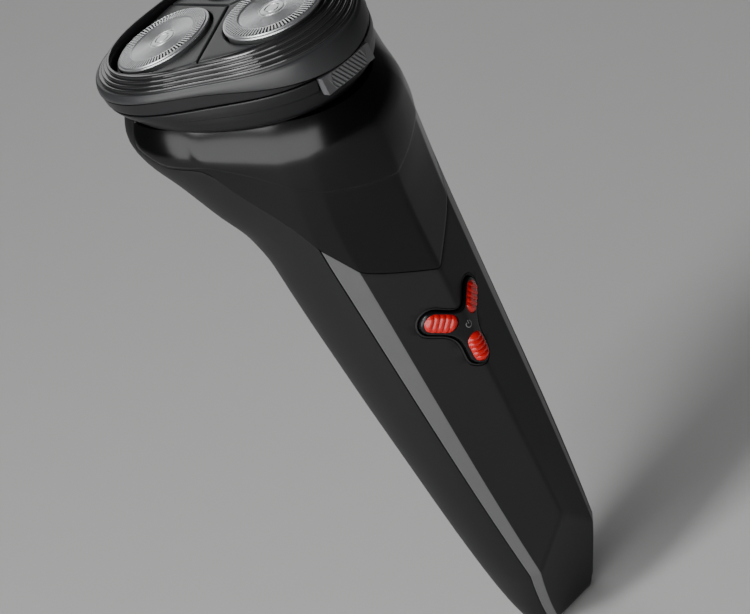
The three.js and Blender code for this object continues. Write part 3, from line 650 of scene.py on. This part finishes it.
def gloss_panel():
    """The neck's gloss panel, which steps out along the crease to form the collar."""
    s = mirrored(RIDGE_COLS + EDGE_COLS + [2.96, 3.0, 3.04, 3.08, 3.12, 3.25]
                 + span(3.5, corner_s, 0.22))
    low = line_level(PANEL_LINE, s)
    crease = np.maximum(line_level(COLLAR_LINE, s), low + 0.5)
    rows, lift = [], []
    for t in np.linspace(0, 1, 34):
        rows.append(low + (crease - 0.2 - low) * t)
        lift.append(0.0)
    for step, up in ((-0.06, 0.06), (0.02, 0.22), (0.12, 0.42), (0.26, 0.5), (0.45, 0.54)):
        rows.append(crease + step)
        lift.append(up)
    for t in np.linspace(0, 1, 34)[1:]:
        rows.append(crease + 0.45 + (SEAT_Z - crease - 0.45) * t)
        lift.append(COLLAR_STEP * (1 - t ** 1.5) + COLLAR_BULGE * t * (1 - t))
    levels = np.array(rows)
    fade = smoothstep(crease - low, 0.4, 2.2) * 0.75 + 0.25
    share = s / corner_s
    ends = np.where(levels > corner_level, seam_s(np.maximum(levels, corner_level)), corner_s)
    obj = shell("neck_panel", levels, share[None, :] * ends,
                np.array(lift)[:, None] * fade[None, :], floor=False)
    soften(obj, 0.16, angle=60)
    return smooth(obj, 40)


def front_y(x, z):
    """The keel's surface in front of the button, with its ridge rounded."""
    a = FACET_HALF(z)
    across = np.sqrt(np.asarray(x, float) ** 2 + 0.8) - 0.35
    return RIDGE_Y + across / a * (KEEL_FOOT_Y + KEEL_RISE * np.asarray(z, float) - RIDGE_Y)


def on_keel(outline, depth):
    """An (x, z) outline laid on the keel's surface, and moved back by depth."""
    p = np.asarray(outline, float)
    return np.stack([p[:, 0], front_y(p[:, 0], p[:, 1]) + depth, p[:, 1]], axis=-1)


def inward(outline, distance):
    """A closed (x, z) outline moved towards its inside."""
    p = np.asarray(outline, float)
    t = np.roll(p, -1, axis=0) - np.roll(p, 1, axis=0)
    t /= np.linalg.norm(t, axis=1)[:, None]
    return p + distance * np.stack([-t[:, 1], t[:, 0]], axis=-1)


def power_button():
    """The three-lobed button, with a rounded edge and a pocket for each insert."""
    outline = lobes(0)
    edge = ((2.4, 0), (0.0, 0), (-0.3, 0.03), (-0.52, 0.14), (-0.64, 0.3), (-BUTTON_PROUD, 0.5))
    rings = [on_keel(inward(outline, inset), depth) for depth, inset in edge]
    centre = np.array([0, BUTTON_Z])
    inner = inward(outline, 0.5)
    for t in (0.9, 0.78, 0.64, 0.5, 0.36, 0.24, 0.12, 0.04):
        rings.append(on_keel(centre + (inner - centre) * t, -BUTTON_PROUD))
    obj = weld(loft("power_key", rings), outward=True)
    for angle in LOBE_ANGLES:
        cut(obj, prism("pocket", stadium(angle, POCKET_HALF_WIDTH, POCKET_HALF_LENGTH), -40, -26.2))
    soften(obj, 0.12, angle=45)
    return smooth(obj, 40)


def insert(i, angle):
    """A cushion-shaped insert with ridges across it."""
    half_w, half_l = INSERT_HALF_WIDTH, INSERT_HALF_LENGTH
    u = np.linspace(-1, 1, 70) * half_l
    u = np.sign(u) * half_l * np.sin(np.abs(u) / half_l * np.pi / 2) * 0.5 + u * 0.5
    straight = np.maximum(0, np.abs(u) - (half_l - half_w))
    w = np.sqrt(np.maximum(0, half_w ** 2 - straight ** 2))
    v = np.sin(np.linspace(-1, 1, 21) * np.pi / 2)[None, :] * w[:, None]
    uu = np.repeat(u[:, None], 21, axis=1)
    edge = half_w - np.hypot(np.maximum(0, np.abs(uu) - (half_l - half_w)), v)
    crown = np.sqrt(np.clip(1 - (1 - np.clip(edge / 0.9, 0, 1)) ** 2, 0, 1))
    ridges = RIDGE_HEIGHT * np.cos(2 * np.pi * uu / RIDGE_PITCH) * np.clip(edge / 0.5, 0, 1)
    height = -0.25 + 0.95 * crown + ridges
    x = (INSERT_REACH + uu) * math.cos(angle) - v * math.sin(angle)
    z = (INSERT_REACH + uu) * math.sin(angle) + v * math.cos(angle) + BUTTON_Z
    top = np.stack([x, front_y(x, z) - height, z], axis=-1)
    obj = make(f"key_insert_{i + 1}", top, grid_faces(70, 21))
    return smooth(thicken(obj, 0.5), 60)


def power_symbol():
    """A small generic on/off sign, printed proud of the button's middle."""
    points, faces = [], []

    def strip(path, width):
        base = len(points)
        path = np.array(path)
        t = np.gradient(path, axis=0)
        t /= np.linalg.norm(t, axis=1)[:, None]
        side = np.stack([-t[:, 1], t[:, 0]], axis=-1) * width / 2
        for edge in (path - side, path + side):
            x, z = edge[:, 0], edge[:, 1] + BUTTON_Z
            points.extend(np.stack([x, front_y(x, z) - BUTTON_PROUD - 0.03, z], axis=-1))
        faces.extend(grid_faces(2, len(path), start=base))

    arc = np.radians(np.linspace(125, 415, 40))
    strip(np.stack([0.72 * np.cos(arc), 0.72 * np.sin(arc)], axis=-1), 0.2)
    strip([(0, 0.15), (0, 0.5), (0, 0.95)], 0.2)
    return smooth(thicken(make("key_symbol", points, faces), 0.06))


def gasket():
    """The dark channel seal round the button."""
    outer, inner = lobes(SEAL_OUTER_GROW), lobes(SEAL_INNER_GROW)
    profile = ((outer, 2.0), (outer, 0.25), (inward(outer, 0.1), 0.15),
               (inward(inner, -0.1), 0.15), (inner, 0.25), (inner, 2.0))
    return smooth(tube("key_seal", [on_keel(outline, depth) for outline, depth in profile]))


# ------------------------------------------------------------------ the head
TURN = np.arange(240) * 2 * np.pi / 240


def head_ring(radius, lobe, height, tilt=0.0, flatten=0.0):
    """A ring of the rounded-triangle head on the plane z = height + tilt * y."""
    phi = TURN - HEAD_ANGLES[0]
    r = radius + lobe * np.cos(3 * phi) + flatten * np.cos(6 * phi)
    y = r * np.sin(TURN)
    return np.stack([r * np.cos(TURN), y, height + tilt * y], axis=-1)


def blended(knots, count):
    """Rings through (radius, lobe, height, tilt) knots, smoothly spaced."""
    at = np.linspace(0, len(knots) - 1, count)
    tracks = [curve(*[(i, k[j]) for i, k in enumerate(knots)]) for j in range(4)]
    return [head_ring(*[float(track(t)) for track in tracks]) for t in at]


def hair_chamber():
    """The bowl under the head: a dished outside, a cavity, and holes for the drive shafts."""
    outer = blended([(24.4, 1.5, 146.35, 0.2), (25.3, 1.6, 146.4, 0.198),
                     (25.9, 1.7, 146.75, 0.19), (26.35, 1.85, 147.35, 0.185)], 16)
    outer += blended([(26.42, 1.9, 147.5, 0.182), (26.9, 2.2, 148.5, 0.16),
                      (27.25, 2.5, 149.35, 0.14)], 12)
    outer += blended([(27.42, 2.55, 149.45, 0.138), (27.7, 2.8, 150.3, 0.12),
                      (27.85, 3.0, 151.15, 0.102), (27.7, 3.0, 151.3, 0.1)], 12)
    obj = loft("chamber_bowl", outer)
    cavity = loft("cavity", blended([(24, 1.6, 147.9, 0.17), (25.2, 2.3, 150, 0.13),
                                     (26, 2.8, 152.3, 0.1)], 8))
    cut(obj, cavity, bar("clear", HINGE_CLEAR_RADIUS, -5.6, 5.6, HINGE_Y, HINGE_Z),
        block("slot", (2 * RELEASE_HALF + 0.6, 8, 4.4), (0, -32, RELEASE_Z)))
    for angle in HEAD_ANGLES:
        cut(obj, post("hole", 3, 140, 160, GUARD_PITCH * math.cos(angle),
                      GUARD_PITCH * math.sin(angle)))
    soften(obj, 0.15, angle=50)
    return smooth(obj, 40)


def chamber_lugs():
    """The bowl's two hinge lugs, one the mirror image of the other."""
    parts = []
    for side in (-1, 1):
        lug = bar("chamber_lug", KNUCKLE_RADIUS, 5.8, 9, HINGE_Y, HINGE_Z, 48)
        combine(lug, block("foot", (3.2, 1.7, 3), (7.4, HINGE_Y - 0.6, 152.3)), "UNION")
        cut(lug, bar("bore", 1.2, 0, 12, HINGE_Y, HINGE_Z))
        if side < 0:
            lug.data.transform(Matrix.Scale(-1, 4, (1, 0, 0)))
            weld(lug, outward=True)
        lug.name = "chamber_lug_left" if side < 0 else "chamber_lug_right"
        soften(lug, 0.2, angle=50)
        parts.append(smooth(lug, 40))
    return parts


def release_button():
    """A rounded key with diagonal grip ridges and bevelled ends."""
    half, rise = RELEASE_HALF, RELEASE_RISE
    u = np.unique(np.concatenate([np.linspace(-half, half, 113), [0.1 - half, half - 0.1]]))
    v = np.unique(np.concatenate([np.linspace(-rise, rise, 33), [0.05 - rise, rise - 0.05]]))
    uu, vv = np.meshgrid(u, v)
    edge = np.minimum(half - np.abs(uu), rise - np.abs(vv))
    fall = 0.35 * (1 - np.sqrt(np.clip(1 - (1 - np.clip(edge / 0.35, 0, 1)) ** 2, 0, 1)))
    bevel = 0.8 * np.clip((np.abs(uu) - 4.9 - 0.35 * vv) / 1.6, 0, 1)
    grip = np.clip((4.7 - 0.3 * vv - np.abs(uu)) / 0.25, 0, 1)
    grip = grip * np.clip((1.75 - np.abs(vv)) / 0.2, 0, 1)
    wave = (uu + GRIP_SLANT * vv) / GRIP_PITCH
    ridge = GRIP_DEPTH * (np.abs((wave % 1) - 0.5) * 2) * grip
    y = RELEASE_FRONT_Y + uu ** 2 / RELEASE_BEND + fall + bevel + ridge
    front = np.stack([uu, y, RELEASE_Z + vv], axis=-1)
    obj = thicken(make("release_key", front, grid_faces(*uu.shape)), 0.5)
    combine(obj, block("body", (2 * half - 0.1, 2.0, 2 * rise - 0.1), (0, -29.9, RELEASE_Z)),
            "UNION")
    combine(obj, block("tongue", (5, 3.4, 2), (0, -28, RELEASE_Z)), "UNION")
    return smooth(obj, 28)


BAND_TOP_RADIUS, BAND_TOP_Z, BAND_BULGE = 27.88, 155.95, 0.48
RIB_LOW = (26.85, 3.0, 156.75, 0.08)
RIB_HIGH = (24.75, 2.62, 158.75, 0.06)
RIBS = 4


def band_foot(r, lobe, drop):
    """The band's lower edge: level at the back, and dipping over the front lobe."""
    ring = head_ring(r, lobe, 0)
    y = ring[:, 1]
    ring[:, 2] = 154.7 + 0.05 * y - 0.0046 * y ** 2 * (y < 0) - drop
    return ring


def head_frame():
    """The ring round the cutters: a dark skirt, a satin band and four polished ribs."""
    rings = [head_ring(26.2, 2.8, 151.6, 0.1), head_ring(27.5, 3.1, 151.6, 0.1),
             head_ring(27.72, 3.15, 151.63, 0.1), head_ring(27.85, 3.18, 151.75, 0.1),
             head_ring(27.92, 3.2, 151.9, 0.1)]
    foot = band_foot(28.1, 3.24, 0.32)
    low = rings[-1]
    for t in np.linspace(0, 1, 9)[1:]:
        rings.append(low + (foot - low) * t)
    skirt = len(rings)
    rings += [band_foot(27.9, 3.2, 0.26), band_foot(27.88, 3.2, 0.12),
              band_foot(28.12, 3.25, 0.06), band_foot(28.22, 3.26, -0.06)]
    foot = rings[-1]
    top = head_ring(BAND_TOP_RADIUS, 3.22, BAND_TOP_Z, 0.091)
    for t in np.linspace(0, 1, 11)[1:]:
        ring = foot + (top - foot) * t
        outward = ring / np.linalg.norm(ring[:, :2], axis=1)[:, None] * (1, 1, 0)
        rings.append(ring + BAND_BULGE * t * (1 - t) * outward)
    rings += blended([(27.84, 3.22, 156.0, 0.091), (27.72, 3.2, 156.2, 0.09),
                      (27.4, 3.12, 156.33, 0.088), (27.28, 3.1, 156.3, 0.088)], 6)
    band = len(rings)
    low, high = np.array(RIB_LOW), np.array(RIB_HIGH)
    pitch = np.array([-0.62, 0.66])
    for rib in range(RIBS):
        centre = low + (high - low) * rib / (RIBS - 1)
        for t in np.linspace(-0.5, 0.5, 11):
            rise = 0.34 * math.cos(t * math.pi) ** 0.8 - 0.1
            along = t * 0.92
            rings.append(head_ring(centre[0] + pitch[0] * along + 0.66 * rise, centre[1],
                                   centre[2] + pitch[1] * along + 0.72 * rise, centre[3]))
    ribs = len(rings)
    rings += [head_ring(24.3, 2.6, 159.0, 0.05, 0.1), head_ring(24.05, 2.6, 159.1, 0.04, 0.3),
              head_ring(23.85, 2.6, 159.0, 0.03, 0.4), head_ring(23.8, 2.6, 158.7, 0.02, 0.4),
              head_ring(23.8, 2.6, 156.2, 0, 0.4), head_ring(24.2, 2.65, 155.8, 0, 0.3),
              head_ring(26.1, 2.8, 154.9, 0.05), head_ring(26.2, 2.8, 154.6, 0.05)]
    row_marks = [0] * (skirt + 1) + [1] * (band - skirt - 1) + [2] * (ribs - band)
    row_marks += [0] * (len(rings) - ribs)
    obj = tube("head_ring", rings, np.repeat(row_marks, len(TURN)), [SKIRT, FRAME, RIB])
    cut(obj, bar("clear", HINGE_CLEAR_RADIUS, 5.4, 9.4, HINGE_Y, HINGE_Z),
        bar("clear", HINGE_CLEAR_RADIUS, -9.4, -5.4, HINGE_Y, HINGE_Z))
    knuckle = bar("knuckle", KNUCKLE_RADIUS, -5.1, 5.1, HINGE_Y, HINGE_Z, 48)
    inside = loft("inside", [head_ring(26.2, 2.8, 145, 0.1), head_ring(26.2, 2.8, 157, 0.1)])
    cut(knuckle, inside)
    combine(obj, knuckle, "UNION")
    return smooth(obj, 40)


def on_petal(points, angle):
    """Moves points drawn about a guard's centre to their place on the tilted head."""
    place = (Matrix.Translation((GUARD_PITCH * math.cos(angle), GUARD_PITCH * math.sin(angle),
                                 GUARD_PLANE))
             @ Matrix.Rotation(angle, 4, "Z") @ Matrix.Rotation(PETAL_TILT, 4, "Y"))
    m = np.array(place)
    points = np.asarray(points, float)
    return points @ m[:3, :3].T + m[:3, 3]


def petal_reach(directions):
    """How far a petal runs from its guard's centre in each direction, with outward first."""
    out = []
    for psi in directions:
        low, high = 11.2, 30.0
        for _ in range(34):
            r = (low + high) / 2
            x, y = GUARD_PITCH + r * math.cos(psi), r * math.sin(psi)
            phi = math.atan2(y, x)
            edge = (PETAL_EDGE + PETAL_LOBE * math.cos(3 * phi)
                    + PETAL_FLAT * math.cos(6 * phi))
            slack = min(edge - math.hypot(x, y),
                        x * math.sin(math.pi / 3) - abs(y) * math.cos(math.pi / 3) - PETAL_SPLIT)
            if slack > 0:
                low = r
            else:
                high = r
        out.append((low + high) / 2)
    return np.array(out)


def petal(i, angle):
    """A plate with a round opening for its guard, both edges rounded over."""
    t = np.arange(360) * 2 * np.pi / 360
    reach = petal_reach(t)
    unit = np.stack([np.cos(t), np.sin(t)], axis=-1)
    rim = GUARD_RADIUS + PETAL_GAP
    rings = []

    def ring(radius, z):
        rings.append(np.concatenate([unit * np.broadcast_to(radius, t.shape)[:, None],
                                     np.full((360, 1), z)], axis=1))

    for radius, z in ((rim, -2.5), (rim, -0.75), (rim + 0.05, -0.56), (rim + 0.18, -0.44),
                      (rim + 0.34, -0.4)):
        ring(radius, z)
    for share in (0.15, 0.4, 0.7):
        ring(rim + 0.34 + (reach - 0.5 - rim - 0.34) * share, -0.4 + 0.1 * share * (1 - share))
    for back, z in ((0.5, -0.4), (0.28, -0.44), (0.1, -0.56), (0.02, -0.75), (0, -1.0),
                    (0.32, -2.5)):
        ring(reach - back, z)
    rings = [on_petal(r, angle) for r in rings]
    return smooth(tube(f"petal_plate_{i + 1}", rings), 50)


def guard(i, angle):
    """A steel guard: a skirt, a slotted track and a cap with fine rings."""
    count = SLOTS * SLOT_STEPS
    t = np.arange(count) * 2 * np.pi / count
    unit = np.stack([np.cos(t), np.sin(t)], axis=-1)

    def ring(radius, z):
        return np.concatenate([unit * radius, np.full((count, 1), z)], axis=1)

    skirt = [(10.35, -3.8), (10.38, -0.2), (10.45, 0.0), (10.62, 0.08), (GUARD_RADIUS, 0.2),
             (GUARD_RADIUS, 0.42), (10.62, 0.58), (10.45, 0.66), (10.28, 0.72), (10.2, 0.86),
             (10.1, 0.94)]
    track = [(10.0, 0.97), (9.6, 1.0), (9.1, 1.0), (8.6, 1.0), (8.1, 1.0), (7.7, 0.98),
             (7.55, 0.96)]
    cap = [(7.4, 0.92), (7.25, 0.8), (7.05, 0.74)]
    for k in range(CAP_RINGS):
        r = CAP_RADIUS - k * 0.075
        cap.append((r, 0.75 + 0.03 * math.cos(k * math.pi / 1.5) + 0.1 * (1 - r / 7)))
    cap += [(2.85, 0.8), (2.78, 0.66), (2.6, 0.64), (2.52, 0.84), (2.4, 0.88), (1.7, 0.89),
            (1.62, 0.74), (1.4, 0.74), (1.32, 0.89), (0.75, 0.9), (0.02, 0.9)]
    profile = skirt + track + cap
    rings = [ring(r, z) for r, z in profile]
    faces = []
    first, last = len(skirt), len(skirt) + len(track) - 1
    for a in range(len(profile) - 1):
        for j in range(count):
            slotted = first <= a < last and j % SLOT_STEPS < OPEN_STEPS
            if not slotted:
                b = (j + 1) % count
                faces.append((a * count + j, a * count + b, (a + 1) * count + b,
                              (a + 1) * count + j))
    points = on_petal(np.concatenate(rings), angle)
    obj = make(f"guard_cap_{i + 1}", points, faces)
    thicken(obj, GUARD_SHEET)
    return smooth(obj, 35)


# ------------------------------------------------------------------ build everything
settle(front_shell(), "handle", None, ["front_shell"])
settle(rear_shell(), "handle", REAR, ["rear_shell"])
settle(gloss_panel(), "handle", GLOSS, ["gloss_panel"])
settle(gasket(), "handle", RUBBER, ["button_gasket"])
settle(power_button(), "power_button", BUTTON, ["power_button"])
settle(power_symbol(), "power_button", SYMBOL)
for number, lobe_angle in enumerate(LOBE_ANGLES):
    settle(insert(number, lobe_angle), "power_button", RED, [f"button_insert_{number + 1}"])
settle(hair_chamber(), "shaving_unit", BOWL, ["hair_chamber"])
for lug in chamber_lugs():
    settle(lug, "shaving_unit", BOWL)
settle(release_button(), "release", GRIP, ["release_button"])
settle(head_frame(), "head", None, ["head_frame"])
for number, head_angle in enumerate(HEAD_ANGLES):
    settle(petal(number, head_angle), f"petal_{number + 1}", PETAL, [f"petal_{number + 1}"])
    settle(guard(number, head_angle), f"petal_{number + 1}", STEEL, [f"guard_{number + 1}"])

CAD_FINISH = {
    "matte_rear": REAR, "matte_front": MATTE, "gloss_black": GLOSS, "red_insert": RED,
    "dark_plastic": DARK, "satin_grey": FRAME, "rubber": RUBBER, "steel": BLADES_PAINTED_SHADE,
    "plated_steel": PLATED, "brass": BRASS, "nylon": NYLON, "board_green": BOARD,
    "blue_sleeve": SLEEVE,
}
node_slots = {row["node"]: row["material_slot"] for row in frame["record"]["subparts"]}
for node_name, node in frame["nodes"].items():
    node.data.materials.clear()
    node.data.materials.append(CAD_FINISH[node_slots[node_name]])

# ------------------------------------------------------------------ stage, lights and camera
def plane(name, size, location):
    """A level square."""
    half = size / 2
    mesh = bpy.data.meshes.new(name)
    mesh.from_pydata([(-half, -half, 0), (half, -half, 0), (half, half, 0), (-half, half, 0)],
                     [], [(0, 1, 2, 3)])
    obj = bpy.data.objects.new(name, mesh)
    obj.location = location
    bpy.context.scene.collection.objects.link(obj)
    return obj


floor = plane("floor", 12, (0, 0, -0.0003))
floor.data.materials.append(FLOOR)


def area_light(name, location, target, size, power, size_y):
    """A soft white rectangular light, aimed at a point."""
    data = bpy.data.lights.new(name, "AREA")
    data.shape = "RECTANGLE"
    data.size = size
    data.size_y = size_y
    data.energy = power
    obj = bpy.data.objects.new(name, data)
    obj.location = location
    aim = Vector(target) - Vector(location)
    obj.rotation_euler = aim.to_track_quat("-Z", "Y").to_euler()
    bpy.context.scene.collection.objects.link(obj)
    return obj


area_light("key", (-0.8, -0.3, 0.22), (0, -0.02, 0.11), 1.1, 12, 0.8)
area_light("crest", (-0.62, -0.02, 0.92), (0, 0, 0.15), 0.22, 6, 0.5)
area_light("back", (0.42, 0.85, 0.62), (0, 0.05, 0.12), 0.7, 1.6, 0.5)

world = bpy.data.worlds.new("studio")
bpy.context.scene.world = world
world.use_nodes = True
world.node_tree.nodes["Background"].inputs["Color"].default_value = (0.8, 0.81, 0.83, 1)
world.node_tree.nodes["Background"].inputs["Strength"].default_value = 0.06

# The camera stands to the front left, looks down and is rolled, so the handle leans.
azimuth, elevation, roll = math.radians(-29.5), math.radians(27.3), math.radians(27.3)
camera_place = Vector((-0.2575, -0.4518 + SHIFT_Y * MM, 0.3516))
chord = Vector((math.sin(azimuth), -math.cos(azimuth), 0))
backward = math.cos(elevation) * chord + Vector((0, 0, math.sin(elevation)))
rightward = Vector((math.cos(azimuth), math.sin(azimuth), 0))
upward = backward.cross(rightward)
axis_x = math.cos(roll) * rightward - math.sin(roll) * upward
axis_y = math.sin(roll) * rightward + math.cos(roll) * upward
camera_data = bpy.data.cameras.new("camera")
camera_data.lens = 130.5
camera_data.sensor_width = 36
camera_data.clip_start = 0.01
camera = bpy.data.objects.new("camera", camera_data)
turn = Matrix((axis_x, axis_y, backward)).transposed()
camera.matrix_world = Matrix.Translation(camera_place) @ turn.to_4x4()
bpy.context.scene.collection.objects.link(camera)
bpy.context.scene.camera = camera
